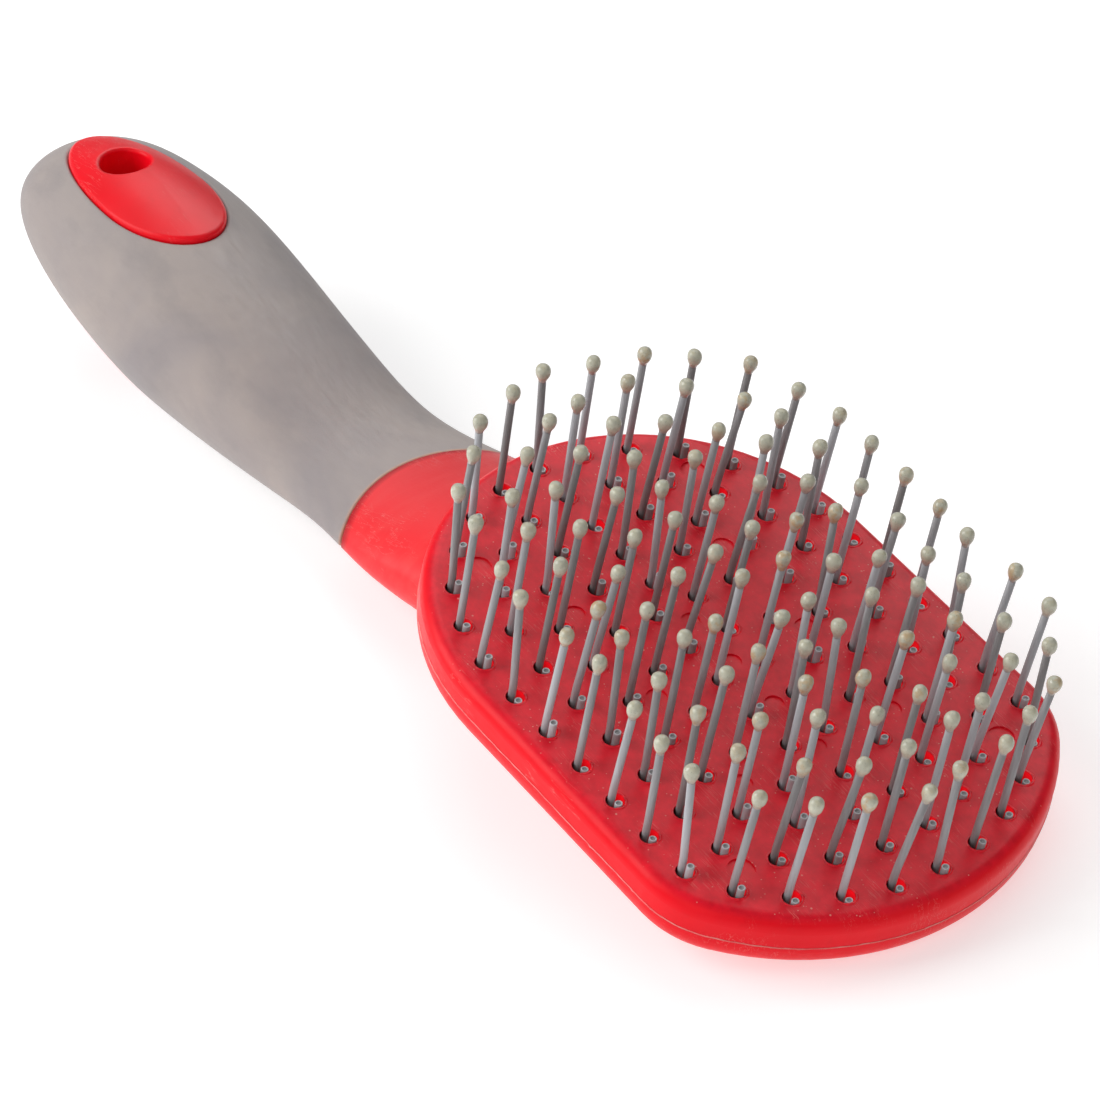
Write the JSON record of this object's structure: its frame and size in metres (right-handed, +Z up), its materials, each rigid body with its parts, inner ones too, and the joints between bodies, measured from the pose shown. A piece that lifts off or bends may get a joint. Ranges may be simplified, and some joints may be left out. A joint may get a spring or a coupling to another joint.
{
  "type": "bristle brush",
  "caption": "Large grooming brush: flat rounded head with rings of ball-tipped plastic bristles, necked handle with a soft grip and a hanging eye.",
  "frame": {"origin": "bottom centre of the bounding box, on the table the brush lies on, under its middle", "axes": "+X along the brush from the grip to the free end of the head, +Y to the left side of the head, +Z up off the table; the bristle face slopes down towards +X by 12.55 degrees, as the brush rests on the belly of its grip and the free end of its head"},
  "size_m": [0.2354, 0.076, 0.0524],
  "materials": {
    "hard_red": "satin",
    "soft_grip": "matte",
    "filament": "satin",
    "tip_resin": "satin",
    "anchor_wire": "drawn"
  },
  "bodies": {
    "root": {"core": "hard_red", "grip": "soft_grip", "bristles_ring_1_left": "filament", "tips_ring_1_left": "tip_resin", "anchors_ring_1_left": "anchor_wire", "bristles_ring_1_right": "filament", "tips_ring_1_right": "tip_resin", "anchors_ring_1_right": "anchor_wire", "bristles_ring_2_left": "filament", "tips_ring_2_left": "tip_resin", "anchors_ring_2_left": "anchor_wire", "bristles_ring_2_right": "filament", "tips_ring_2_right": "tip_resin", "anchors_ring_2_right": "anchor_wire", "bristles_ring_3_left": "filament", "tips_ring_3_left": "tip_resin", "anchors_ring_3_left": "anchor_wire", "bristles_ring_3_right": "filament", "tips_ring_3_right": "tip_resin", "anchors_ring_3_right": "anchor_wire", "bristles_ring_4_left": "filament", "tips_ring_4_left": "tip_resin", "anchors_ring_4_left": "anchor_wire", "bristles_ring_4_right": "filament", "tips_ring_4_right": "tip_resin", "anchors_ring_4_right": "anchor_wire", "bristles_ring_5_left": "filament", "tips_ring_5_left": "tip_resin", "anchors_ring_5_left": "anchor_wire", "bristles_ring_5_right": "filament", "tips_ring_5_right": "tip_resin", "anchors_ring_5_right": "anchor_wire"}
  },
  "joints": []
}
